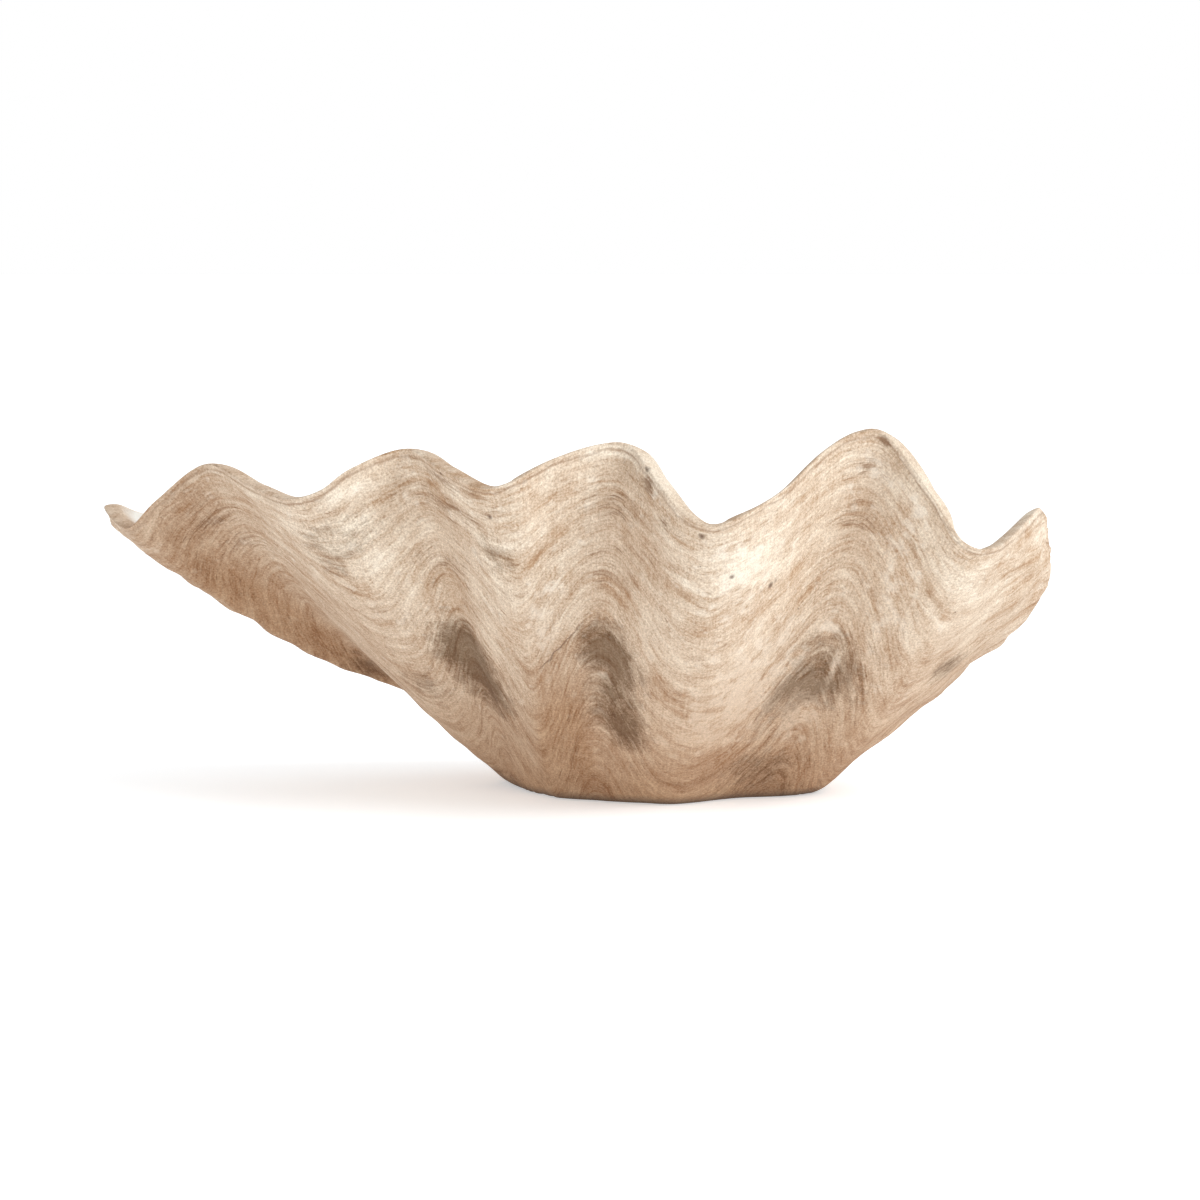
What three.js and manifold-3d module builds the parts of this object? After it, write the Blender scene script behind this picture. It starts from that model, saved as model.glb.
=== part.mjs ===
// Giant clam shell: one weathered valve that lies as a bowl on a ground-flat base.
// Millimetres, +Z up. +X runs along the hinge to the taller end, -Y faces the scalloped margin,
// +Y is the hinge side. The origin is the middle of the flat base.
import * as THREE from 'three';
import { mergeVertices } from 'three/addons/utils/BufferGeometryUtils.js';
import Module from 'manifold-3d';

// Where the shell started to grow: the tip of the beak outside, and its deepest corner inside.
const UMBO = new THREE.Vector3(-50, 92, 128);
const UMBO_INSIDE = new THREE.Vector3(-50, 58, 94);

// The valve is drawn by the lines that fan out from the umbo to the margin, once round the shell.
// rim: where the line meets the margin; waist: where it passes on its way up; belly and back: how far
// down and back its handle at the umbo lies; wall: thickness at the margin; sink: how far the inside
// edge of the worn lip lies below the outside edge.
const LINES = [
  { rim: [-374, 10, 182], waist: [-238, 62, 90], belly: 150, back: 40, wall: 11, sink: 0 }, // left end
  { rim: [-353, -46, 172], waist: [-217, 37, 72], belly: 170, back: 40, wall: 12, sink: 0 }, // 1st rib
  { rim: [-332, -62, 191], waist: [-204, 28, 77], belly: 185, back: 40, wall: 13, sink: 6 },
  { rim: [-300, -76, 214], waist: [-190, 18, 73], belly: 198, back: 40, wall: 12, sink: 2 }, // 1st furrow
  { rim: [-269, -112, 203], waist: [-172, 5, 56], belly: 230, back: 45, wall: 12, sink: 0 },
  { rim: [-245, -142, 197], waist: [-157, -7, 42], belly: 262, back: 48, wall: 12, sink: 0 }, // 2nd rib
  { rim: [-223, -160, 203], waist: [-140, -14, 32], belly: 286, back: 50, wall: 12, sink: 2 },
  { rim: [-203, -162, 217], waist: [-122, -17, 23], belly: 308, back: 50, wall: 12, sink: 6 },
  { rim: [-171, -158, 228], waist: [-110, -20, 14], belly: 332, back: 48, wall: 12, sink: 2 }, // 2nd furrow
  { rim: [-150, -190, 219], waist: [-101, -29, 8], belly: 348, back: 46, wall: 12, sink: 0 },
  { rim: [-125, -218, 209], waist: [-90, -40, 3], belly: 362, back: 43, wall: 12, sink: 0 }, // 3rd rib
  { rim: [-105, -228, 213], waist: [-83, -47, 0], belly: 370, back: 40, wall: 12, sink: 2 },
  { rim: [-82, -214, 225], waist: [-73, -53, 0], belly: 372, back: 40, wall: 12, sink: 5 },
  { rim: [-55, -203, 233], waist: [-62, -58, 0], belly: 374, back: 40, wall: 12, sink: 3 }, // 3rd furrow
  { rim: [-37, -204, 233], waist: [-52, -61, 0], belly: 377, back: 40, wall: 12, sink: 3 },
  { rim: [-24, -224, 218], waist: [-40, -65, 0], belly: 381, back: 40, wall: 12, sink: 4 },
  { rim: [-8, -246, 198], waist: [-25, -71, 0], belly: 388, back: 40, wall: 12, sink: 2 },
  { rim: [9, -256, 189], waist: [-8, -75, 0], belly: 394, back: 40, wall: 12, sink: 0 }, // 4th rib
  { rim: [29, -252, 195], waist: [8, -67, 0], belly: 398, back: 40, wall: 12, sink: 3 },
  { rim: [55, -216, 208], waist: [22, -56, 0], belly: 400, back: 40, wall: 12, sink: 9 },
  { rim: [82, -184, 230], waist: [36, -48, 0], belly: 400, back: 40, wall: 12, sink: 8 },
  { rim: [102, -172, 239], waist: [48, -44, 0], belly: 400, back: 40, wall: 12, sink: 2 }, // 4th furrow
  { rim: [119, -170, 236], waist: [57, -42, 0], belly: 396, back: 40, wall: 12, sink: 0 },
  { rim: [143, -182, 204], waist: [68, -39, 0], belly: 382, back: 42, wall: 12, sink: 0 },
  { rim: [164, -186, 174], waist: [81, -34, 2], belly: 362, back: 45, wall: 13, sink: 0 }, // 5th rib
  { rim: [188, -160, 170], waist: [97, -20, 8], belly: 325, back: 45, wall: 12, sink: 3 },
  { rim: [223, -60, 186], waist: [150, 4, 61], belly: 195, back: 40, wall: 11, sink: 6 }, // right end
  { rim: [215, 0, 160], waist: [126, 45, 77], belly: 150, back: 30, wall: 13, sink: 0 },
  { rim: [165, 58, 140], waist: [79, 77, 98], belly: 80, back: 15, wall: 20, sink: 0 },
  { rim: [60, 84, 134], waist: [13, 87, 131], belly: 0, back: 0, wall: 30, sink: 0 }, // hinge, right
  { rim: [-50, 78, 130], waist: [-50, 84, 129], belly: 0, back: 0, wall: 34, sink: 0 }, // under the beak
  { rim: [-180, 84, 138], waist: [-125, 87, 134], belly: 0, back: 0, wall: 30, sink: 0 }, // hinge, left
  { rim: [-290, 70, 158], waist: [-184, 85, 120], belly: 50, back: 15, wall: 20, sink: 0 },
  { rim: [-350, 45, 172], waist: [-216, 76, 108], belly: 100, back: 25, wall: 13, sink: 0 },
];

const STEPS_BETWEEN_LINES = 3;
const WAIST_AT = 0.55;      // share of the way up a line at which it passes its waist
const ROWS_OUTSIDE = 18;
const ROWS_INSIDE = 14;

const SPREAD = 0.3;         // how far the umbo handles fan out sideways, in shares of the rim's offset
const SPREAD_BELLY = 300;   // belly from which a line fans out in full
const BEAK_REACH = 0.35;    // share of a line, from the umbo, that swells into the beak
const BEAK_BACK = 14;       // how far the beak stands out behind the hinge
const BEAK_UP = 6;          // and above the line of its wall
const FULL_BELLY = 400;     // belly of the deepest line

const FLANK_WALL = 1.6;     // wall half way down the flank, in margin thicknesses
const FLANK_LIFT = 2.3;     // and measured straight up
const INSIDE_BELLY = 0.47;  // the inside is this much shallower than the outside
const INSIDE_BACK = 0.3;
const INSIDE_SPREAD = 0.24;
const LIP_CROWN = 1.5;      // the worn margin is rounded over by this much

const GROUND_SIZE = 900;    // block that grinds the base flat
const GROUND_DEPTH = 300;

// Closed smooth loop through one value triple of every line.
function loopThrough(triple) {
  const points = LINES.map((line) => new THREE.Vector3(...triple(line)));
  const curve = new THREE.CatmullRomCurve3(points, true, 'catmullrom', 0.5);
  const count = LINES.length * STEPS_BETWEEN_LINES;
  return Array.from({ length: count }, (_, k) => curve.getPoint(k / count));
}

// Moves every point of a loop across the wall, square to the loop as seen from above.
function movedInward(loop, distances) {
  return loop.map((point, k) => {
    const before = loop[(k + loop.length - 1) % loop.length];
    const after = loop[(k + 1) % loop.length];
    const inward = new THREE.Vector3(before.y - after.y, after.x - before.x, 0).normalize();
    return point.clone().addScaledVector(inward, distances[k]);
  });
}

const rims = loopThrough((line) => line.rim);
const waists = loopThrough((line) => line.waist);
const depths = loopThrough((line) => [line.belly, line.back, 0]);
const lips = loopThrough((line) => [line.wall, line.sink, 0]);
const walls = lips.map((lip) => lip.x);

// How far the handle at the umbo of a line goes sideways, toward its rim.
function sideways(k, spread) {
  const fullness = Math.min(1, Math.max(0, depths[k].x / SPREAD_BELLY));
  return spread * (rims[k].x - UMBO.x) * fullness;
}

const unders = rims.map((_, k) => {
  const fall = new THREE.Vector3(sideways(k, SPREAD), depths[k].y, -depths[k].x);
  return fall.add(UMBO);
});

// Upper handle of each line, placed so that the line passes its waist.
const flanks = waists.map((waist, k) => {
  const left = 1 - WAIST_AT;
  return waist.clone()
    .addScaledVector(UMBO, -(left ** 3))
    .addScaledVector(unders[k], -3 * left ** 2 * WAIST_AT)
    .addScaledVector(rims[k], -(WAIST_AT ** 3))
    .divideScalar(3 * left * WAIST_AT ** 2);
});

const outsideLines = rims.map((rim, k) => new THREE.CubicBezierCurve3(UMBO, unders[k], flanks[k], rim));

const innerRims = movedInward(rims, walls);
innerRims.forEach((rim, k) => {
  rim.z -= lips[k].y;
});
const innerFlanks = movedInward(flanks, walls.map((wall) => wall * FLANK_WALL));
const insideLines = innerRims.map((rim, k) => {
  const fall = new THREE.Vector3(
    sideways(k, INSIDE_SPREAD),
    depths[k].y * INSIDE_BACK,
    -depths[k].x * INSIDE_BELLY,
  );
  const under = UMBO_INSIDE.clone().add(fall);
  const flank = innerFlanks[k].clone();
  flank.z += walls[k] * FLANK_LIFT;
  return new THREE.CubicBezierCurve3(UMBO_INSIDE, under, flank, rim);
});

// A point of the outside, with the beak swollen out behind the hinge.
function outsidePoint(k, along) {
  const point = outsideLines[k].getPoint(along);
  if (along < BEAK_REACH) {
    const swell = Math.sin((Math.PI * along) / BEAK_REACH) ** 2 * (depths[k].x / FULL_BELLY);
    point.y += BEAK_BACK * swell;
    point.z += BEAK_UP * swell;
  }
  return point;
}

// Rings of points: up the outside from the umbo, over the rounded lip, down the inside.
const rings = [];
for (let row = 1; row <= ROWS_OUTSIDE; row += 1) {
  rings.push(rims.map((_, k) => outsidePoint(k, row / ROWS_OUTSIDE)));
}
rings.push(rims.map((rim, k) => {
  const crown = rim.clone().lerp(innerRims[k], 0.5);
  crown.z += LIP_CROWN;
  return crown;
}));
for (let row = ROWS_INSIDE; row >= 1; row -= 1) {
  rings.push(insideLines.map((line) => line.getPoint(row / ROWS_INSIDE)));
}

// One closed skin: fan at the umbo, bands between rings, fan at the deepest corner.
function closedSkin() {
  const columns = rims.length;
  const positions = [UMBO, ...rings.flat(), UMBO_INSIDE].flatMap((point) => point.toArray());
  const last = 1 + rings.length * columns;
  const faces = [];
  for (let k = 0; k < columns; k += 1) {
    const next = (k + 1) % columns;
    faces.push(0, 1 + next, 1 + k);
    for (let row = 0; row < rings.length - 1; row += 1) {
      const low = 1 + row * columns;
      const high = low + columns;
      faces.push(low + k, low + next, high + next);
      faces.push(low + k, high + next, high + k);
    }
    faces.push(last - columns + k, last - columns + next, last);
  }
  const geometry = new THREE.BufferGeometry();
  geometry.setAttribute('position', new THREE.Float32BufferAttribute(positions, 3));
  geometry.setIndex(faces);
  return geometry;
}

const wasm = await Module();
wasm.setup();

function toManifold(geometry) {
  const bare = geometry.clone();
  bare.deleteAttribute('normal');
  bare.deleteAttribute('uv');
  const merged = mergeVertices(bare);
  return new wasm.Manifold(new wasm.Mesh({
    numProp: 3,
    vertProperties: new Float32Array(merged.attributes.position.array),
    triVerts: new Uint32Array(merged.index.array),
  }));
}

function toGeometry(manifold) {
  const mesh = manifold.getMesh();
  const geometry = new THREE.BufferGeometry();
  geometry.setAttribute('position', new THREE.BufferAttribute(mesh.vertProperties, 3));
  geometry.setIndex(new THREE.BufferAttribute(mesh.triVerts, 1));
  geometry.computeVertexNormals();
  return geometry;
}

// The underside is ground away level, so that the bowl stands.
const ground = new THREE.BoxGeometry(GROUND_SIZE, GROUND_SIZE, GROUND_DEPTH);
ground.translate(0, 0, -GROUND_DEPTH / 2);
const standing = toManifold(closedSkin()).subtract(toManifold(ground));

const shell = new THREE.Mesh(
  toGeometry(standing),
  new THREE.MeshStandardMaterial({ color: 0xcbb59c, roughness: 0.85, metalness: 0 }),
);
shell.name = 'shell';

const group = new THREE.Group();
group.name = 'giant_clam_shell';
group.add(shell);

export default group;
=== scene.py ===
# A giant clam shell: one weathered, sun-bleached valve that lies as a bowl on a ground-flat base.
# Metres, +Z up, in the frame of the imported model.
import math

import bpy
import numpy as np
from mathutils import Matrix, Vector, noise


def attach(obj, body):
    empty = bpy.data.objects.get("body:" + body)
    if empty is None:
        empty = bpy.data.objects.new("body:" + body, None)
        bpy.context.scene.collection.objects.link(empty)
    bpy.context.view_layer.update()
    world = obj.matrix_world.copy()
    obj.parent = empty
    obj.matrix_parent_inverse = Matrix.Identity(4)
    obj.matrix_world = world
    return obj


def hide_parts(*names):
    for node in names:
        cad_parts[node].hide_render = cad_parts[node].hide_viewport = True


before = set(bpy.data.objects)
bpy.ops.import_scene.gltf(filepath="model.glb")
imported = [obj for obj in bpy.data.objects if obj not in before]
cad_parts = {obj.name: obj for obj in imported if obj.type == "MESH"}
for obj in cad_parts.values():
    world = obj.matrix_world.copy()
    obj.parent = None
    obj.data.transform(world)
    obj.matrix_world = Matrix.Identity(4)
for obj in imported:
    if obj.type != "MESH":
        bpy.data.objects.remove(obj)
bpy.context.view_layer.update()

# The valve: one wall of chalky aragonite that grew out from the umbo, layer after layer, to a margin
# folded into five ribs and four furrows. It is one piece, worn by the sea, with the base ground flat.

UMBO = (-0.050, 0.092, 0.128)           # tip of the beak, where the shell started to grow
UMBO_INSIDE = (-0.050, 0.058, 0.094)    # the same place inside

# Lines of growth from the umbo to the margin, once round the shell, in millimetres: the point where a
# line meets the margin; its waist, a point it passes on its way up; belly and back, how far down and
# back it leaves the umbo; wall, thickness at the margin; sink, how far the inside edge of the worn lip
# lies below the outside edge; fold, 1 in a furrow and -1 on a rib.
GROWTH_LINES = (
    (-374, 10, 182, -238, 62, 90, 150, 40, 11, 0, 0.1),        # left end of the hinge side
    (-353, -46, 172, -217, 37, 72, 170, 40, 12, 0, -0.8),      # first rib
    (-332, -62, 191, -204, 28, 77, 185, 40, 13, 6, 0.2),
    (-300, -76, 214, -190, 18, 73, 198, 40, 12, 2, 1),         # first furrow
    (-269, -112, 203, -172, 5, 56, 230, 45, 12, 0, 0.3),
    (-245, -142, 197, -157, -7, 42, 262, 48, 12, 0, -0.7),     # second rib
    (-223, -160, 203, -140, -14, 32, 286, 50, 12, 2, -0.9),
    (-203, -162, 217, -122, -17, 23, 308, 50, 12, 6, -0.1),
    (-171, -158, 228, -110, -20, 14, 332, 48, 12, 2, 1),       # second furrow
    (-150, -190, 219, -101, -29, 8, 348, 46, 12, 0, 0.4),
    (-125, -218, 209, -90, -40, 3, 362, 43, 12, 0, -0.7),      # third rib
    (-105, -228, 213, -83, -47, 0, 370, 40, 12, 2, -1),
    (-82, -214, 225, -73, -53, 0, 372, 40, 12, 5, -0.2),
    (-55, -203, 233, -62, -58, 0, 374, 40, 12, 3, 0.9),        # third furrow
    (-37, -204, 233, -52, -61, 0, 377, 40, 12, 3, 1),
    (-24, -224, 218, -40, -65, 0, 381, 40, 12, 4, 0.3),
    (-8, -246, 198, -25, -71, 0, 388, 40, 12, 2, -0.6),
    (9, -256, 189, -8, -75, 0, 394, 40, 12, 0, -1),            # fourth rib
    (29, -252, 195, 8, -67, 0, 398, 40, 12, 3, -0.9),
    (55, -216, 208, 22, -56, 0, 400, 40, 12, 9, -0.4),
    (82, -184, 230, 36, -48, 0, 400, 40, 12, 8, 0.4),
    (102, -172, 239, 48, -44, 0, 400, 40, 12, 2, 1),           # fourth furrow
    (119, -170, 236, 57, -42, 0, 396, 40, 12, 0, 0.9),
    (143, -182, 204, 68, -39, 0, 382, 42, 12, 0, 0.1),
    (164, -186, 174, 81, -34, 2, 362, 45, 13, 0, -0.8),        # fifth rib
    (188, -160, 170, 97, -20, 8, 325, 45, 12, 3, -0.9),
    (223, -60, 186, 150, 4, 61, 195, 40, 11, 6, 0.6),          # right end, curled up
    (215, 0, 160, 126, 45, 77, 150, 30, 13, 0, 0),
    (165, 58, 140, 79, 77, 98, 80, 15, 20, 0, 0),
    (60, 84, 134, 13, 87, 131, 0, 0, 30, 0, 0),                # right half of the hinge
    (-50, 78, 130, -50, 84, 129, 0, 0, 34, 0, 0),              # under the beak
    (-180, 84, 138, -125, 87, 134, 0, 0, 30, 0, 0),            # left half of the hinge
    (-290, 70, 158, -184, 85, 120, 50, 15, 20, 0, 0),
    (-350, 45, 172, -216, 76, 108, 100, 25, 13, 0, 0),
)
WAIST_AT = 0.55                         # share of the way up at which a line passes its waist

COLUMNS_PER_LINE = 14                   # how finely the skin is divided
OUTSIDE_ROWS = 132
LIP_ROWS = 10
INSIDE_ROWS = 56

SPREAD = 0.30                           # how far the lines fan out as they leave the umbo
FULL_BELLY = 0.40                       # belly of the deepest line
BEAK_REACH = 0.35                       # share of a line, from the umbo, that swells into the beak
BEAK_BACK = 0.014                       # how far the beak stands out behind the hinge
BEAK_UP = 0.006
FLANK_WALL = 1.6                        # wall half way down the flank, in margin thicknesses
FLANK_LIFT = 2.3
INSIDE_SPREAD = 0.24
INSIDE_BACK = 0.3
INSIDE_BELLY = 0.47                     # the bowl is this much shallower than the outside


def round_the_margin(column, count):
    """One column of the growth lines, made a smooth closed loop of count values."""
    values = np.array([line[column] for line in GROWTH_LINES], float)
    place = np.arange(count) * len(values) / count
    k = place.astype(int)
    s = place - k
    a, b, c, d = (values[(k + step) % len(values)] for step in (-1, 0, 1, 2))
    return 0.5 * (2 * b + (c - a) * s + (2 * a - 5 * b + 4 * c - d) * s**2 + (3 * b - a - 3 * c + d) * s**3)


def moved_inward(loop, distance):
    """A loop of points moved across the wall, square to the loop as seen from above."""
    before, after = np.roll(loop, 1, 0), np.roll(loop, -1, 0)
    inward = np.stack([before[:, 1] - after[:, 1], after[:, 0] - before[:, 0]], 1)
    inward /= np.linalg.norm(inward, axis=1)[:, None]
    moved = loop.copy()
    moved[:, :2] += inward * distance[:, None]
    return moved


def grown_line(start, leave, bow, end, t):
    """Rows of points on the curve from the umbo to the margin, for every column at once."""
    t = t[:, None, None]
    return (1 - t) ** 3 * start + 3 * (1 - t) ** 2 * t * leave + 3 * (1 - t) * t**2 * bow + t**3 * end


def lumps(points, size, seed):
    """Soft natural unevenness from -1 to 1, with lumps about size metres across."""
    flat = points.reshape(-1, 3) / size + seed
    values = [noise.noise(Vector(p)) for p in flat]
    return np.array(values).reshape(points.shape[:-1]) * 1.6


def smooth_step(low, high, x):
    s = np.clip((x - low) / (high - low), 0, 1)
    return s * s * (3 - 2 * s)


def bump_at(x, centre, half_width):
    """1 at the centre, falling smoothly to 0 at half_width on each side."""
    return 1 - smooth_step(0, 1, np.abs(x - centre) / half_width)


columns = len(GROWTH_LINES) * COLUMNS_PER_LINE
line_at = np.arange(columns) / COLUMNS_PER_LINE          # which growth line a column is on
margin = np.stack([round_the_margin(k, columns) for k in (0, 1, 2)], 1) / 1000
waist = np.stack([round_the_margin(k, columns) for k in (3, 4, 5)], 1) / 1000
belly, back, wall, sink = (round_the_margin(k, columns) / 1000 for k in (6, 7, 8, 9))
fold = round_the_margin(10, columns)

umbo, umbo_inside = np.array(UMBO), np.array(UMBO_INSIDE)
fan = (margin[:, 0] - umbo[0]) * np.clip(belly / 0.3, 0, 1)
leave = umbo + np.stack([SPREAD * fan, back, -belly], 1)
left = 1 - WAIST_AT
bow = waist - left**3 * umbo - 3 * left**2 * WAIST_AT * leave - WAIST_AT**3 * margin
bow /= 3 * left * WAIST_AT**2

t_outside = np.linspace(0, 1, OUTSIDE_ROWS + 1)
outside = grown_line(umbo, leave, bow, margin, t_outside)
beak = np.where(t_outside < BEAK_REACH, np.sin(np.pi * t_outside / BEAK_REACH) ** 2, 0)
beak = beak[:, None] * belly / FULL_BELLY
outside[..., 1] += BEAK_BACK * beak
outside[..., 2] += BEAK_UP * beak

inner_margin = moved_inward(margin, wall)
inner_margin[:, 2] -= sink
inner_bow = moved_inward(bow, wall * FLANK_WALL)
inner_bow[:, 2] += wall * FLANK_LIFT
t_inside = np.linspace(1, 0, INSIDE_ROWS + 1)
leave_inside = np.stack([INSIDE_SPREAD * fan, back * INSIDE_BACK, -belly * INSIDE_BELLY], 1)
leave_inside = leave_inside + umbo_inside
inside = grown_line(umbo_inside, leave_inside, inner_bow, inner_margin, t_inside)

# Deep in the bowl new layers of shell have evened out the folds.
evened = inside.copy()
for smoothing in range(3):
    evened = np.mean([np.roll(evened, step, 1) for step in range(-9, 10)], axis=0)
depth_in_bowl = smooth_step(0.0, 0.40, 1 - t_inside)[:, None, None]
inside = inside * (1 - 0.9 * depth_in_bowl) + evened * 0.9 * depth_in_bowl

# The worn lip is rounded over from the outside edge to the inside edge.
lip_crown = 0.0015
turn = np.linspace(0, np.pi, LIP_ROWS + 1)[1:-1, None, None]
across = (1 - np.cos(turn)) / 2
lip = margin * (1 - across) + inner_margin * across
lip[..., 2] += lip_crown * np.sin(turn[..., 0])

skin = np.concatenate([outside, lip, inside])
rows = len(skin) - 1

# Signed distance over the skin from the outside edge of the lip: below 0 outside, above 0 on the lip
# and inside. Growth is the share of the way from the umbo to the margin, arched up in the furrows.
steps = np.linalg.norm(np.diff(skin, axis=0), axis=2)
from_umbo = np.concatenate([np.zeros((1, columns)), np.cumsum(steps, axis=0)])
from_lip = from_umbo - from_umbo[OUTSIDE_ROWS]
t_skin = np.concatenate([t_outside, np.ones(LIP_ROWS - 1), t_inside])[:, None]
arch = 0.065 * smooth_step(1.02, 0.70, t_skin) * smooth_step(0.30, 0.60, t_skin)
growth = t_skin - arch * fold

# Relief of the outside: flat terraces that end in small ledges along the growth lines, long soft
# unevenness, and the lumpy ends of the shell. It dies out at the lip and at the umbo.
along = np.roll(skin, -1, 1) - np.roll(skin, 1, 1)
down = np.gradient(skin, axis=0)
normals = np.cross(along, down)
normals /= np.maximum(np.linalg.norm(normals, axis=2), 1e-9)[..., None]
row_number = np.arange(rows + 1)[:, None]
is_outside = row_number <= OUTSIDE_ROWS
worn = smooth_step(0, 0.010, -from_lip) * smooth_step(0.02, 0.12, t_skin) * is_outside
long_lumps = lumps(skin, 0.070, 3.1)
middle_lumps = lumps(skin, 0.036, 15.2)
short_lumps = lumps(skin, 0.018, 8.4)
terraces = 19
ledge_height = 0.0006
terrace = growth * terraces + 0.6 * long_lumps + 0.2 * short_lumps
ledge = terrace - np.floor(terrace)
ledge = np.where(ledge < 0.8, ledge / 0.8, (1 - ledge) / 0.2)
strength = np.clip(0.5 + 0.9 * lumps(skin, 0.055, 21.7), 0.0, 1.3)
lumpy_end = bump_at(line_at, 27.2, 2.6) * smooth_step(0.40, 0.62, t_skin)
lumpy_end = lumpy_end + 0.4 * bump_at(line_at, 34.0, 2.5) + 0.4 * bump_at(line_at, 0.0, 2.5)
relief = ledge_height * ledge * strength * (1 + 0.5 * fold) + 0.0006 * short_lumps + 0.0012 * long_lumps
relief = relief + lumpy_end * (0.0055 * middle_lumps + 0.0034 * short_lumps + ledge_height * ledge)
relief = relief * worn

# Inside, muscles left their marks: a large oval scar in the middle of the bowl and, a third of the way
# down from the margin, the thin line where the mantle was fixed.
scar_x, scar_y = -0.010, -0.012
scar_half_length, scar_half_width = 0.062, 0.046
scar_depth, mantle_line_depth = 0.0012, 0.0007
down_the_bowl = np.clip(from_lip / from_lip[-1], 0, 1)
oval = np.hypot((skin[..., 0] - scar_x) / scar_half_length, (skin[..., 1] - scar_y) / scar_half_width)
is_inside = row_number > OUTSIDE_ROWS + LIP_ROWS
scar = smooth_step(1.12, 0.86, oval + 0.08 * middle_lumps) * is_inside
mantle_line = bump_at(down_the_bowl, 0.36 + 0.02 * long_lumps, 0.022)
mantle_line = mantle_line * smooth_step(0.0, 0.1, belly - 0.05)
muscle_marks = np.maximum(0.45 * scar, 0.5 * mantle_line * is_inside)
relief = relief - (scar_depth * scar + mantle_line_depth * mantle_line) * is_inside
relief = relief + 0.0006 * long_lumps * is_inside * smooth_step(0.02, 0.06, from_lip)

# The hinge plate: a long groove that held the ligament, and one long tooth with the socket beside it.
groove_depth, tooth_height, socket_depth = 0.0060, 0.0065, 0.0055
over_the_lip = np.clip((row_number - OUTSIDE_ROWS) / LIP_ROWS, 0, 1)
groove = bump_at(over_the_lip, 0.30, 0.22) * smooth_step(1.5, 1.0, np.abs(line_at - 29.2))
tooth = bump_at(over_the_lip, 0.74, 0.24) * bump_at(line_at, 31.2, 1.1)
socket = bump_at(over_the_lip, 0.74, 0.24) * bump_at(line_at, 29.7, 0.9)
relief = relief + tooth_height * tooth - socket_depth * socket - groove_depth * groove
muscle_marks = np.maximum(muscle_marks, 0.8 * groove)
skin = skin + normals * relief[..., None]

# The ground base meets the sides in an edge that wear has rounded over.
edge_round = 0.004
above_ground = np.clip(skin[..., 2], 0, edge_round)
tuck = edge_round - np.sqrt(edge_round**2 - (edge_round - above_ground) ** 2)
sideways = normals[..., :2] / np.maximum(np.linalg.norm(normals[..., :2], axis=2), 1e-9)[..., None]
skin[..., :2] -= sideways * (tuck * is_outside * smooth_step(0.05, 0.1, t_skin))[..., None]

# A grid is the sheet that is wrapped round the shell: across it runs the margin, and up it the skin
# runs from the umbo, over the lip, and back to the umbo inside.
bpy.ops.object.select_all(action="DESELECT")
bpy.ops.mesh.primitive_grid_add(x_subdivisions=columns, y_subdivisions=rows, size=1, calc_uvs=False)
valve = bpy.context.object
valve.name = valve.data.name = "Clam_valve"
sheet = np.empty(len(valve.data.vertices) * 3)
valve.data.vertices.foreach_get("co", sheet)
sheet = sheet.reshape(-1, 3)
column_of = np.rint((sheet[:, 0] + 0.5) * columns).astype(int) % columns
row_of = np.rint((sheet[:, 1] + 0.5) * rows).astype(int)
valve.data.vertices.foreach_set("co", skin[row_of, column_of].ravel())


# Grey dirt sits low in the furrows and in hollows; the patches under the two ends and low on the base are
# painted shade. The middle of each patch and its radius in millimetres, and how strong it is.
GREY_DIRT_AND_SHADE = (
    (-141, -98, 108, 32, 0.8),           # second furrow
    (-132, -92, 94, 36, 0.9),
    (-119, -85, 72, 34, 0.9),
    (-50, -155, 112, 32, 0.9),           # third furrow
    (-45, -148, 93, 34, 0.9),
    (-42, -129, 65, 32, 0.9),
    (-36, -117, 48, 24, 0.7),
    (78, -112, 90, 50, 0.55),            # fourth furrow
    (56, -105, 66, 44, 0.75),
    (66, -108, 77, 34, 0.35),
    (86, -119, 102, 34, 0.40),
    (88, -107, 80, 34, 0.45),
    (46, -69, 24, 50, 0.55),
    (-228, -128, 169, 26, 0.3),          # beside the first furrow
    (-208, -143, 174, 32, 0.4),
    (-217, -119, 155, 30, 0.3),
    (-118, -190, 165, 26, 0.6),          # on the third rib
    # Painted shade under the overhanging ends and at the foot of the base, to the end of the table.
    (-202, 29, 76, 36, 0.7),             # under the left end
    (-165, -59, 72, 30, 0.5),
    (164, -84, 89, 24, 0.9),             # under the right end
    (-112, 10, 4, 34, 0.7),              # low on the left corner of the base
    (-100, -18, 0, 26, 0.5),
    (74, -36, 0, 30, 0.4),
)
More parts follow.
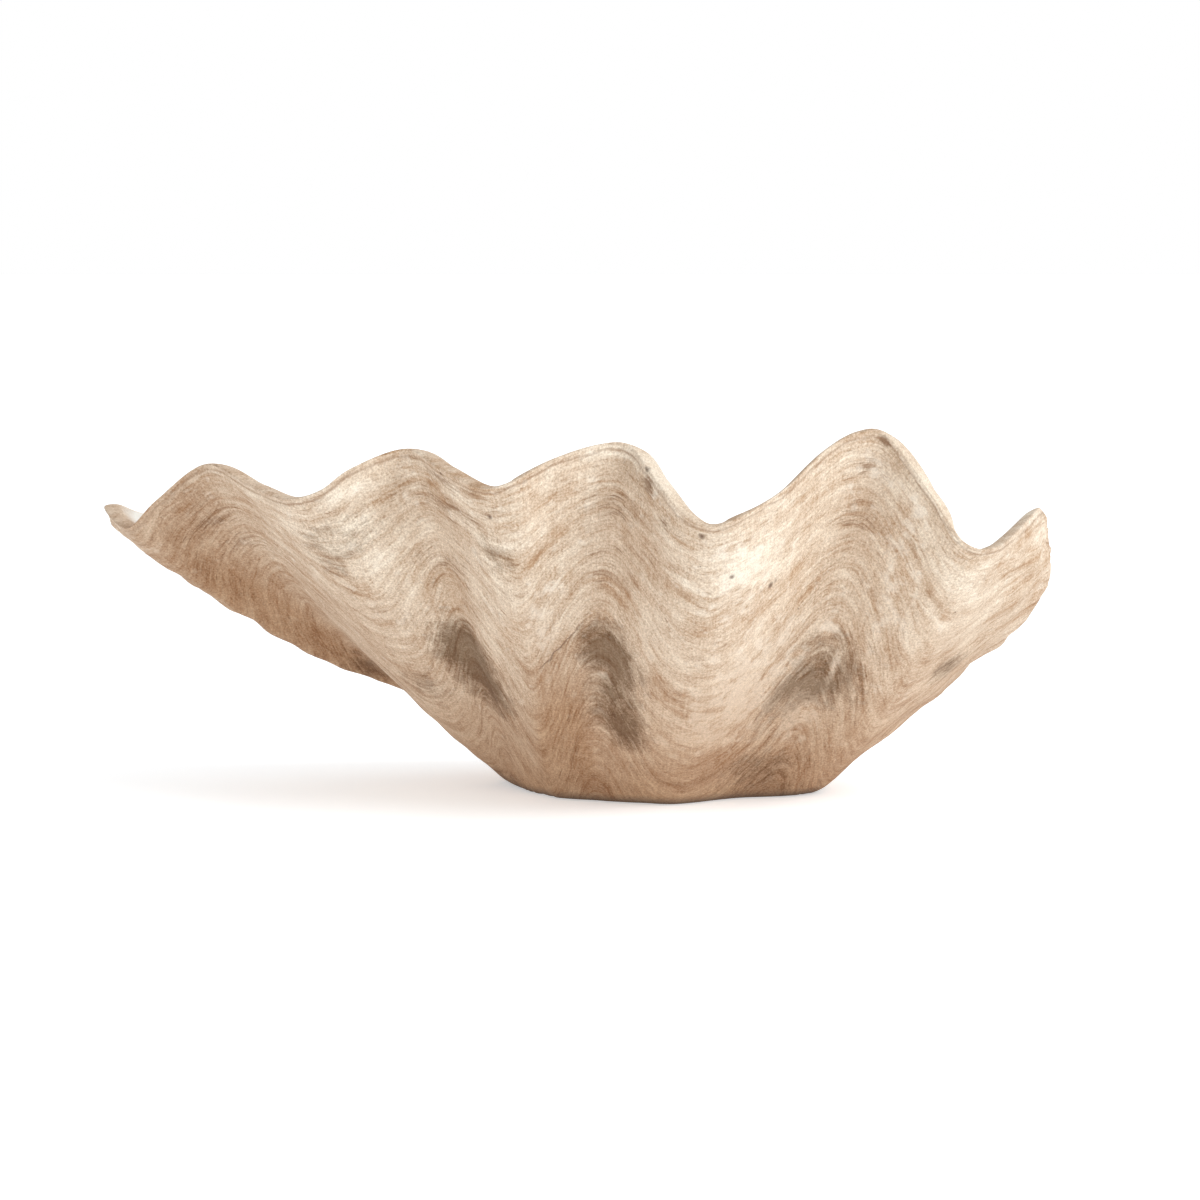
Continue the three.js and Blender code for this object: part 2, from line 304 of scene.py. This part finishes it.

# Other traces of age, as soft spots along the growth lines: line, share of the way up, half widths in lines
# and in shares, strength. Brown stains colour wide areas, and on the shaded flank of the fourth rib and the
# folded right end they are painted shade; scuffs mark where layers have broken away; bare spots show clean
# chalk, and on the lit flank of the fourth rib they are painted light.
BROWN_STAINS_AND_SHADE = (
    (1.6, 0.800, 3.0, 0.550, 0.9),       # the left end
    (8.6, 0.880, 1.6, 0.140, 0.4),       # tops of the furrows
    (14.0, 0.880, 1.8, 0.140, 0.4),
    (21.6, 0.880, 2.0, 0.140, 0.3),
    (12.0, 0.660, 2.2, 0.180, 0.45),
    (15.3, 0.900, 1.4, 0.120, 0.35),     # painted shade on the flank of the fourth rib that faces away from the light
    (4.6, 0.850, 1.8, 0.300, 0.3),
    (26.4, 0.930, 0.5, 0.070, 0.6),      # brown and painted shade on the folded right end
)
SCUFFS = (
    (2.4, 0.900, 1.2, 0.030, 0.8),       # broken layers high in the first furrow
    (2.6, 0.840, 1.2, 0.028, 0.7),
    (8.9, 0.982, 1.4, 0.016, 1.0),       # and in the second
    (8.7, 0.940, 1.5, 0.028, 0.8),
    (8.2, 0.860, 1.5, 0.040, 0.6),
    (13.9, 0.930, 1.6, 0.040, 0.6),      # in the third
    (13.8, 0.860, 1.6, 0.040, 0.6),
    (15.0, 0.985, 0.4, 0.020, 1.2),      # eroded places beside its peak
    (15.6, 0.955, 0.3, 0.018, 1.0),
    (21.9, 0.992, 0.4, 0.012, 1.5),      # a chip on the highest peak
    (21.4, 0.955, 1.3, 0.020, 0.9),
    (21.3, 0.890, 1.6, 0.040, 0.6),
    (10.2, 0.955, 0.9, 0.018, 0.7),
)
BARE_AND_LIT_SPOTS = (
    (21.3, 0.775, 0.7, 0.016, 1.3),      # flecks over the dirt in the fourth furrow
    (22.1, 0.730, 0.3, 0.030, 0.9),
    (20.9, 0.690, 2.6, 0.100, 0.9),
    (13.9, 0.735, 0.5, 0.012, 0.8),
    (1.1, 0.930, 0.5, 0.014, 1.2),       # by the left end
    (22.9, 0.960, 0.5, 0.020, 0.7),
    (18.6, 0.740, 2.0, 0.120, 0.7),      # painted light on the lit flank of the fourth rib, with the spots at 18.0 and 17.6
    (18.0, 0.890, 1.8, 0.100, 0.6),
    (22.9, 0.885, 1.0, 0.120, 0.5),
    (17.6, 0.675, 2.2, 0.100, 0.6),
    (21.6, 0.955, 1.4, 0.050, 0.4),
    (11.6, 0.800, 1.4, 0.100, 0.4),
)
CLEAN_LIP = (
    (15.3, 0.5, 2.1, 1.0, 1.3),          # where the lip is rubbed clean
    (23.2, 0.5, 2.2, 1.0, 1.2),
    (32.5, 0.5, 1.5, 1.0, 0.4),
)
on_skin = {"growth": growth, "furrow": np.broadcast_to(fold, growth.shape), "from_lip": from_lip}
on_skin["muscle_marks"] = muscle_marks
around = np.abs((line_at - 13) % len(GROWTH_LINES) - len(GROWTH_LINES) / 2)
on_skin["around"] = np.broadcast_to(around, growth.shape)
on_skin["grey_dirt_and_shade"] = np.zeros_like(growth)
for x, y, z, radius, amount in GREY_DIRT_AND_SHADE:
    away = np.linalg.norm(skin * 1000 - (x, y, z), axis=2) / radius
    on_skin["grey_dirt_and_shade"] += amount * smooth_step(1, 0, away) * is_outside
for name, spots in (
    ("brown_stain_and_shade", BROWN_STAINS_AND_SHADE),
    ("scuffs", SCUFFS),
    ("bare_and_lit", BARE_AND_LIT_SPOTS),
    ("clean_lip", CLEAN_LIP),
):
    on_skin[name] = np.zeros_like(growth)
    for line, share, half_lines, half_share, amount in spots:
        across_it = np.hypot((line_at - line) / half_lines, (t_skin - share) / half_share)
        on_skin[name] += amount * smooth_step(1, 0, across_it)
for name, values in on_skin.items():
    layer = valve.data.attributes.new(name, "FLOAT", "POINT")
    layer.data.foreach_set("value", values[row_of, column_of])

bpy.ops.object.mode_set(mode="EDIT")
bpy.ops.mesh.select_all(action="SELECT")
bpy.ops.mesh.remove_doubles(threshold=0.00002)
bpy.ops.mesh.normals_make_consistent(inside=False)
bpy.ops.mesh.bisect(plane_co=(0, 0, 0), plane_no=(0, 0, 1), use_fill=True, clear_inner=True)
bpy.ops.object.mode_set(mode="OBJECT")
bpy.ops.object.shade_smooth_by_angle(angle=math.radians(50))


def shade(hex_colour):
    """An sRGB hex colour as linear RGBA."""
    parts = [int(hex_colour[k : k + 2], 16) / 255 for k in (1, 3, 5)]
    return [p / 12.92 if p <= 0.04045 else ((p + 0.055) / 1.055) ** 2.4 for p in parts] + [1]


def node(tree, kind, inputs=None, output=0, **settings):
    """Adds a node with its settings, values and links, and gives back one of its outputs."""
    made = tree.nodes.new(kind)
    for name, value in settings.items():
        setattr(made, name, value)
    for name, value in (inputs or {}).items():
        if isinstance(value, bpy.types.NodeSocket):
            tree.links.new(value, made.inputs[name])
        else:
            made.inputs[name].default_value = value
    return made.outputs[output]


# Weathered aragonite, bleached and sanded by the sea: chalky, dull and finely layered. The layers show
# as thin broken brown lines along the growth lines, over a mottled cream; the bowl is denser and smooth.
shell_stuff = bpy.data.materials.new("Weathered_aragonite")
shell_stuff.use_nodes = True
tree = shell_stuff.node_tree
surface = tree.nodes["Principled BSDF"]

place = node(tree, "ShaderNodeTexCoord", output="Object")
grown = node(tree, "ShaderNodeAttribute", output="Fac", attribute_name="growth")
around_it = node(tree, "ShaderNodeAttribute", output="Fac", attribute_name="around")
edge = node(tree, "ShaderNodeAttribute", output="Fac", attribute_name="from_lip")
in_furrow = node(tree, "ShaderNodeAttribute", output="Fac", attribute_name="furrow")
dirt_and_shade_amount = node(tree, "ShaderNodeAttribute", output="Fac", attribute_name="grey_dirt_and_shade")
stain_and_shade = node(tree, "ShaderNodeAttribute", output="Fac", attribute_name="brown_stain_and_shade")
scuffed = node(tree, "ShaderNodeAttribute", output="Fac", attribute_name="scuffs")
bleached_and_lit = node(tree, "ShaderNodeAttribute", output="Fac", attribute_name="bare_and_lit")
rubbing = node(tree, "ShaderNodeAttribute", output="Fac", attribute_name="clean_lip")
marks = node(tree, "ShaderNodeAttribute", output="Fac", attribute_name="muscle_marks")

wobble = node(tree, "ShaderNodeTexNoise", {"Vector": place, "Scale": 42.0, "Detail": 4.0}, "Fac")
wobbled = node(tree, "ShaderNodeMath", {0: wobble, 1: 0.016, 2: grown}, operation="MULTIPLY_ADD")

# One unit of growth is some 300 mm of shell. Layers 0.8, 2, 4 and 9 mm thick run along the growth
# lines; along them each keeps its shade for 12, 18, 50 and 35 mm. The thinnest are drawn coarser than
# the real ones, which are too fine to show.
layers = []
for thickness, run in ((0.0008, 0.012), (0.0020, 0.018), (0.004, 0.050), (0.009, 0.035)):
    streak_place = node(tree, "ShaderNodeVectorMath", {0: place, 3: 1 / run}, operation="SCALE")
    layer_count = node(tree, "ShaderNodeMath", {0: wobbled, 1: 0.3 / thickness}, operation="MULTIPLY")
    layers.append(
        node(
            tree,
            "ShaderNodeTexNoise",
            {"Vector": streak_place, "W": layer_count, "Scale": 1.0, "Detail": 3.0, "Roughness": 0.6},
            "Fac",
            noise_dimensions="4D",
        )
    )
hairs, streaks, arcs, bands = layers

# Fine threads 2 mm apart cross the layers, from the umbo outwards.
thread_place = node(tree, "ShaderNodeVectorMath", {0: place, 3: 1 / 0.030}, operation="SCALE")
thread_count = node(tree, "ShaderNodeMath", {0: around_it, 1: 14.0}, operation="MULTIPLY")
threads = node(
    tree,
    "ShaderNodeTexNoise",
    {"Vector": thread_place, "W": thread_count, "Scale": 1.0, "Detail": 1.0},
    "Fac",
    noise_dimensions="4D",
)
clouds = node(
    tree, "ShaderNodeTexNoise", {"Vector": place, "Scale": 26.0, "Detail": 6.0, "Roughness": 0.6}, "Fac"
)
blots = node(tree, "ShaderNodeTexNoise", {"Vector": place, "Scale": 120.0, "Detail": 4.0}, "Fac")
grain = node(
    tree, "ShaderNodeTexNoise", {"Vector": place, "Scale": 800.0, "Detail": 4.0, "Roughness": 0.7}, "Fac"
)

# How brown a spot is adds up from all of them.
tone = node(tree, "ShaderNodeMath", {0: clouds, 1: 0.85, 2: 0.0}, operation="MULTIPLY_ADD")
for part, share in (
    (bands, 0.50),
    (arcs, 0.85),
    (streaks, 0.55),
    (hairs, 0.50),
    (threads, 0.30),
    (blots, 0.25),
    (grain, 0.85),
    (in_furrow, 0.04),
):
    tone = node(tree, "ShaderNodeMath", {0: part, 1: share, 2: tone}, operation="MULTIPLY_ADD")
brown = node(tree, "ShaderNodeMapRange", {"Value": tone, 1: 1.96, 2: 2.68}, "Result")
chalk = node(
    tree, "ShaderNodeMix", {0: brown, 6: shade("#f0e3d0"), 7: shade("#b3906f")}, 2, data_type="RGBA"
)

# Hair lines: the edges of single layers, darker where the surface is scuffed or in a furrow.
rough_spots = node(tree, "ShaderNodeMath", {0: blots, 1: 0.5, 2: scuffed}, operation="MULTIPLY_ADD")
broken = node(
    tree, "ShaderNodeMapRange", {"Value": rough_spots, 1: 0.25, 2: 1.1, 3: 0.0, 4: 0.16}, "Result"
)
deeper = node(tree, "ShaderNodeMath", {0: hairs, 1: broken}, operation="ADD")
hair_lines = node(
    tree, "ShaderNodeMapRange", {"Value": deeper, 1: 0.61, 2: 0.77, 3: 0.0, 4: 0.8}, "Result"
)
arc_lines = node(tree, "ShaderNodeMath", {0: scuffed, 1: 0.16, 2: arcs}, operation="MULTIPLY_ADD")
arc_lines = node(
    tree, "ShaderNodeMapRange", {"Value": arc_lines, 1: 0.60, 2: 0.72, 3: 0.0, 4: 0.55}, "Result"
)
hair_room = node(
    tree, "ShaderNodeMapRange", {"Value": bands, 1: 0.36, 2: 0.60, 3: 0.3, 4: 1.0}, "Result"
)
hairline = node(tree, "ShaderNodeMath", {0: hair_lines, 1: hair_room}, operation="MULTIPLY")
arc_line = node(tree, "ShaderNodeMath", {0: arc_lines, 1: streaks}, operation="MULTIPLY")
hairline = node(tree, "ShaderNodeMath", {0: hairline, 1: arc_line}, operation="ADD")
drawn = node(
    tree, "ShaderNodeMix", {0: hairline, 6: chalk, 7: shade("#8a6a50")}, 2, data_type="RGBA"
)

# Eroded places: dark brown pits where the scuffs are strongest.
eroding = node(tree, "ShaderNodeMath", {0: grain, 1: 0.5, 2: rough_spots}, operation="MULTIPLY_ADD")
eroded = node(tree, "ShaderNodeMapRange", {"Value": eroding, 1: 1.10, 2: 1.50, 3: 0.0, 4: 0.7}, "Result")
pitted = node(tree, "ShaderNodeMix", {0: eroded, 6: drawn, 7: shade("#8f7158")}, 2, data_type="RGBA")

# Chalk that shows clean, in flecks everywhere and in the bare spots; on the flank of the fourth rib that
# faces the light the bare spots are painted light.
fleck_tone = node(tree, "ShaderNodeMath", {0: bleached_and_lit, 1: 0.30, 2: blots}, operation="MULTIPLY_ADD")
fleck_tone = node(tree, "ShaderNodeMath", {0: streaks, 1: -0.35, 2: fleck_tone}, operation="MULTIPLY_ADD")
flecks = node(
    tree, "ShaderNodeMapRange", {"Value": fleck_tone, 1: 0.42, 2: 0.58, 3: 0.0, 4: 0.65}, "Result"
)
flecked = node(
    tree, "ShaderNodeMix", {0: flecks, 6: pitted, 7: shade("#f3e8d8")}, 2, data_type="RGBA"
)

# Grey dirt in the furrows, and painted shade under the ends and low on the base, take light away more than
# they colour, and are patchy at their edges.
patchy = node(tree, "ShaderNodeMath", {0: streaks, 1: 0.9, 2: dirt_and_shade_amount}, operation="MULTIPLY_ADD")
patchy = node(tree, "ShaderNodeMath", {0: bleached_and_lit, 1: -0.6, 2: patchy}, operation="MULTIPLY_ADD")
patchier = node(tree, "ShaderNodeMath", {0: blots, 1: 1.0, 2: patchy}, operation="MULTIPLY_ADD")
patchier = node(tree, "ShaderNodeMath", {0: grain, 1: 0.5, 2: patchier}, operation="MULTIPLY_ADD")
dirt_and_shade_mask = node(tree, "ShaderNodeMapRange", {"Value": patchier, 1: 1.35, 2: 2.15, 3: 0.0, 4: 1.0}, "Result")
dirt_and_shade_darkened = node(
    tree,
    "ShaderNodeMix",
    {0: dirt_and_shade_mask, 6: flecked, 7: shade("#aba094")},
    2,
    data_type="RGBA",
    blend_type="MULTIPLY",
)

# Painted shade: towards the base the shell is darkened to a warmer brown, where it would get less light;
# the brown stains, in part painted shade, are added to it.
height = node(tree, "ShaderNodeSeparateXYZ", {0: place}, "Z")
height = node(tree, "ShaderNodeMath", {0: clouds, 1: 0.05, 2: height}, operation="MULTIPLY_ADD")
base_shade_and_stains = node(tree, "ShaderNodeMapRange", {"Value": height, 1: 0.180, 2: 0.030}, "Result")
base_shade_and_stains = node(tree, "ShaderNodeMath", {0: base_shade_and_stains, 1: stain_and_shade}, operation="ADD", use_clamp=True)
shaded_and_stained = node(
    tree,
    "ShaderNodeMix",
    {0: base_shade_and_stains, 6: dirt_and_shade_darkened, 7: shade("#cab29d")},
    2,
    data_type="RGBA",
    blend_type="MULTIPLY",
)

# Painted contact shadow: a thin dark brown band where the shell meets the floor.
painted_contact_shadow = node(tree, "ShaderNodeSeparateXYZ", {0: place}, "Z")
painted_contact_shadow = node(
    tree, "ShaderNodeMapRange", {"Value": painted_contact_shadow, 1: 0.0065, 2: 0.0005, 3: 0.0, 4: 0.85}, "Result"
)
shaded_and_stained = node(
    tree, "ShaderNodeMix", {0: painted_contact_shadow, 6: shaded_and_stained, 7: shade("#5f4a3a")}, 2, data_type="RGBA"
)

# Pits that worms and stones have left, and one crack on the third rib.
# A pit is its place and how wide it is, in millimetres.
PITS = (
    (5, -251, 183, 3.0),
    (24, -227, 157, 2.6),
    (48, -188, 149, 3.2),
    (52, -186, 151, 2.4),
    (-119, -209, 191, 2.6),
    (-26, -221, 221, 3.0),
    (-21, -224, 215, 2.6),
    (-148, -190, 216, 1.6),
    (-300, -76, 160, 2.0),
)
pit_depth = node(tree, "ShaderNodeMath", {0: grain, 1: 0.6, 2: 0.7}, operation="MULTIPLY_ADD")
for x, y, z, across_pit in PITS:
    near = node(
        tree,
        "ShaderNodeVectorMath",
        {0: place, 1: (x / 1000, y / 1000, z / 1000)},
        "Value",
        operation="DISTANCE",
    )
    near = node(tree, "ShaderNodeMath", {0: near, 1: 1000 / across_pit}, operation="MULTIPLY")
    pit_depth = node(tree, "ShaderNodeMath", {0: near, 1: pit_depth}, operation="MINIMUM")
pits = node(tree, "ShaderNodeMapRange", {"Value": pit_depth, 1: 0.9, 2: 0.3, 3: 0.0, 4: 0.85}, "Result")
borings = node(tree, "ShaderNodeTexVoronoi", {"Vector": place, "Scale": 34.0}, "Distance")
boring_size = node(tree, "ShaderNodeMath", {0: blots, 1: 0.13, 2: borings}, operation="MULTIPLY_ADD")
small_pits = node(
    tree, "ShaderNodeMapRange", {"Value": boring_size, 1: 0.082, 2: 0.070, 3: 0.0, 4: 0.7}, "Result"
)
pits = node(tree, "ShaderNodeMath", {0: pits, 1: small_pits}, operation="MAXIMUM")
crack_start, crack_end = Vector((-0.060, -0.163, 0.128)), Vector((-0.092, -0.136, 0.091))
crack_run = (crack_end - crack_start).normalized()
crack_side = crack_run.cross(Vector((0, -1, 0))).normalized()
wandering = node(tree, "ShaderNodeTexNoise", {"Vector": place, "Scale": 90.0, "Detail": 3.0}, "Color")
wandered = node(
    tree, "ShaderNodeVectorMath", {0: wandering, 1: (0.008,) * 3, 2: place}, operation="MULTIPLY_ADD"
)
wandered = node(tree, "ShaderNodeVectorMath", {0: wandered, 1: (0.004,) * 3}, operation="SUBTRACT")
off_crack = node(
    tree, "ShaderNodeVectorMath", {0: wandered, 1: crack_side}, "Value", operation="DOT_PRODUCT"
)
off_crack = node(
    tree, "ShaderNodeMath", {0: off_crack, 1: crack_start.dot(crack_side)}, operation="SUBTRACT"
)
off_crack = node(tree, "ShaderNodeMath", {0: off_crack}, operation="ABSOLUTE")
along_crack = node(
    tree, "ShaderNodeVectorMath", {0: place, 1: crack_run}, "Value", operation="DOT_PRODUCT"
)
half_crack = (crack_end - crack_start).length / 2
along_crack = node(
    tree,
    "ShaderNodeMath",
    {0: along_crack, 1: crack_start.dot(crack_run) + half_crack},
    operation="SUBTRACT",
)
along_crack = node(tree, "ShaderNodeMath", {0: along_crack}, operation="ABSOLUTE")
crack_ends = node(
    tree,
    "ShaderNodeMapRange",
    {"Value": along_crack, 1: half_crack, 2: 0.6 * half_crack, 3: 0.0, 4: 0.5},
    "Result",
)
cracked = node(tree, "ShaderNodeMapRange", {"Value": off_crack, 1: 0.0007, 2: 0.0001}, "Result")
cracked = node(tree, "ShaderNodeMath", {0: cracked, 1: crack_ends}, operation="MULTIPLY")
holes = node(tree, "ShaderNodeMath", {0: pits, 1: cracked}, operation="MAXIMUM")
holed = node(tree, "ShaderNodeMix", {0: holes, 6: shaded_and_stained, 7: shade("#6b5140")}, 2, data_type="RGBA")

# Here and there the lip is rubbed to clean cream, and below its edge runs a thin brown line.
ragged = node(tree, "ShaderNodeMath", {0: blots, 1: 0.0040, 2: edge}, operation="MULTIPLY_ADD")
ragged = node(tree, "ShaderNodeMath", {0: ragged, 1: 0.0020}, operation="SUBTRACT")
under_edge = node(tree, "ShaderNodeMath", {0: ragged, 1: 0.0035}, operation="ADD")
under_edge = node(tree, "ShaderNodeMath", {0: under_edge}, operation="ABSOLUTE")
edge_line = node(
    tree, "ShaderNodeMapRange", {"Value": under_edge, 1: 0.0014, 2: 0.0002, 4: 0.9}, "Result"
)
edge_line = node(tree, "ShaderNodeMath", {0: edge_line, 1: streaks}, operation="MULTIPLY")
edged = node(tree, "ShaderNodeMix", {0: edge_line, 6: holed, 7: shade("#94755c")}, 2, data_type="RGBA")
on_lip = node(tree, "ShaderNodeMapRange", {"Value": ragged, 1: -0.0006, 2: 0.0010}, "Result")
clean = node(tree, "ShaderNodeMath", {0: on_lip, 1: rubbing}, operation="MULTIPLY", use_clamp=True)
rubbed = node(
    tree, "ShaderNodeMix", {0: brown, 6: shade("#f4e9d8"), 7: shade("#d9c5ac")}, 2, data_type="RGBA"
)
lipped = node(tree, "ShaderNodeMix", {0: clean, 6: edged, 7: rubbed}, 2, data_type="RGBA")

# The bowl is denser porcelain-like shell, off-white, a little yellow in the muscle marks.
in_bowl = node(tree, "ShaderNodeMapRange", {"Value": ragged, 1: 0.009, 2: 0.022}, "Result")
bowl_tone = node(tree, "ShaderNodeMath", {0: bands, 1: 0.5, 2: clouds}, operation="MULTIPLY_ADD")
bowl_tone = node(tree, "ShaderNodeMapRange", {"Value": bowl_tone, 1: 0.55, 2: 1.00}, "Result")
porcelain = node(
    tree, "ShaderNodeMix", {0: bowl_tone, 6: shade("#f1efe9"), 7: shade("#e0dbd0")}, 2, data_type="RGBA"
)
mark_tone = node(tree, "ShaderNodeMath", {0: clouds, 1: 0.6, 2: 0.35}, operation="MULTIPLY_ADD")
marked = node(tree, "ShaderNodeMath", {0: marks, 1: mark_tone}, operation="MULTIPLY")
bowl_colour = node(
    tree, "ShaderNodeMix", {0: marked, 6: porcelain, 7: shade("#c9b393")}, 2, data_type="RGBA"
)
finished = node(tree, "ShaderNodeMix", {0: in_bowl, 6: lipped, 7: bowl_colour}, 2, data_type="RGBA")

# Chalk grain of about 1.2 mm over everything, drawn coarser than the real powder so that it shows.
fine_speck = node(tree, "ShaderNodeMapRange", {"Value": in_bowl, 3: 0.85, 4: 0.25}, "Result")
speck = node(tree, "ShaderNodeMath", {0: grain, 1: 0.5}, operation="SUBTRACT")
speck = node(tree, "ShaderNodeMath", {0: speck, 1: fine_speck}, operation="MULTIPLY")
speck = node(tree, "ShaderNodeMath", {0: 1.0, 1: speck}, operation="SUBTRACT")
coloured = node(
    tree,
    "ShaderNodeMix",
    {0: 1.0, 6: finished, 7: speck},
    2,
    data_type="RGBA",
    blend_type="MULTIPLY",
)
tree.links.new(coloured, surface.inputs["Base Color"])
dull = node(tree, "ShaderNodeMapRange", {"Value": in_bowl, 3: 0.88, 4: 0.45}, "Result")
tree.links.new(dull, surface.inputs["Roughness"])
surface.inputs["Specular IOR Level"].default_value = 0.3
depth = node(tree, "ShaderNodeMath", {0: holes, 1: -3.0, 2: grain}, operation="MULTIPLY_ADD")
for part, share in ((eroded, -1.2), (hairline, -0.9), (streaks, -1.0), (threads, -0.4), (blots, -0.8)):
    depth = node(tree, "ShaderNodeMath", {0: part, 1: share, 2: depth}, operation="MULTIPLY_ADD")
calmer = node(tree, "ShaderNodeMapRange", {"Value": in_bowl, 3: 1.0, 4: 0.15}, "Result")
depth = node(tree, "ShaderNodeMath", {0: depth, 1: calmer}, operation="MULTIPLY")
ridged = node(
    tree, "ShaderNodeBump", {"Height": depth, "Strength": 0.6, "Distance": 0.0008}, "Normal"
)
tree.links.new(ridged, surface.inputs["Normal"])
valve.data.materials.append(shell_stuff)

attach(valve, "root")
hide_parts("shell")

# The stage: a plain white floor in a white room, a wide soft light from the right and a little from
# the front, and the camera just above the level of the margin.
FLOOR_SIZE = 60
KEY_ANGLE = math.radians(35)
KEY_DIRECTION = (-0.70, 0.36, -0.62)
LOOKED_AT = (-0.05355, -0.060, 0.1279)
CAMERA_DISTANCE = 2.4
CAMERA_TILT = math.radians(5.5)

bpy.ops.mesh.primitive_plane_add(size=FLOOR_SIZE, location=(0, 0, 0))
floor = bpy.context.object
floor.name = "Floor"
paper = bpy.data.materials.new("White_paper")
paper.use_nodes = True
paper_surface = paper.node_tree.nodes["Principled BSDF"]
paper_surface.inputs["Base Color"].default_value = shade("#f5f8fb")
paper_surface.inputs["Roughness"].default_value = 0.9
paper_surface.inputs["Specular IOR Level"].default_value = 0.1
paper_surface.inputs["Emission Color"].default_value = (0.97, 0.99, 1, 1)
paper_surface.inputs["Emission Strength"].default_value = 0.42
floor.data.materials.append(paper)

# The room is white at eye level, dimmer above it and lit again overhead.
room = bpy.data.worlds.new("White_room")
room.use_nodes = True
sky = room.node_tree
looking = node(sky, "ShaderNodeTexCoord", output="Generated")
upward = node(sky, "ShaderNodeSeparateXYZ", {0: looking}, "Z")
wall_level = node(
    sky, "ShaderNodeMapRange", {"Value": upward, 1: 0.21, 2: 0.34, 3: 1.0, 4: 0.50}, "Result"
)
light_level = node(
    sky, "ShaderNodeMapRange", {"Value": upward, 1: 0.45, 2: 0.90, 3: 0.0, 4: 0.25}, "Result"
)
light_level = node(sky, "ShaderNodeMath", {0: wall_level, 1: light_level}, operation="ADD")
sky.nodes["Background"].inputs["Color"].default_value = (1, 1, 1, 1)
sky.links.new(light_level, sky.nodes["Background"].inputs["Strength"])
bpy.context.scene.world = room

bpy.ops.object.light_add(type="SUN", location=(2.0, -1.2, 1.6))
key_light = bpy.context.object
key_light.name = "Key_light"
key_light.data.angle = KEY_ANGLE
key_light.data.energy = 1.7
key_light.rotation_euler = Vector(KEY_DIRECTION).to_track_quat("-Z", "Y").to_euler()

towards_camera = Vector((0, -math.cos(CAMERA_TILT), math.sin(CAMERA_TILT)))
bpy.ops.object.camera_add(location=Vector(LOOKED_AT) + CAMERA_DISTANCE * towards_camera)
camera = bpy.context.object
camera.rotation_euler = (math.radians(90) - CAMERA_TILT, 0, 0)
camera.data.sensor_width = 36
camera.data.lens = 114.3
bpy.context.scene.camera = camera
bpy.context.scene.view_settings.view_transform = "Standard"
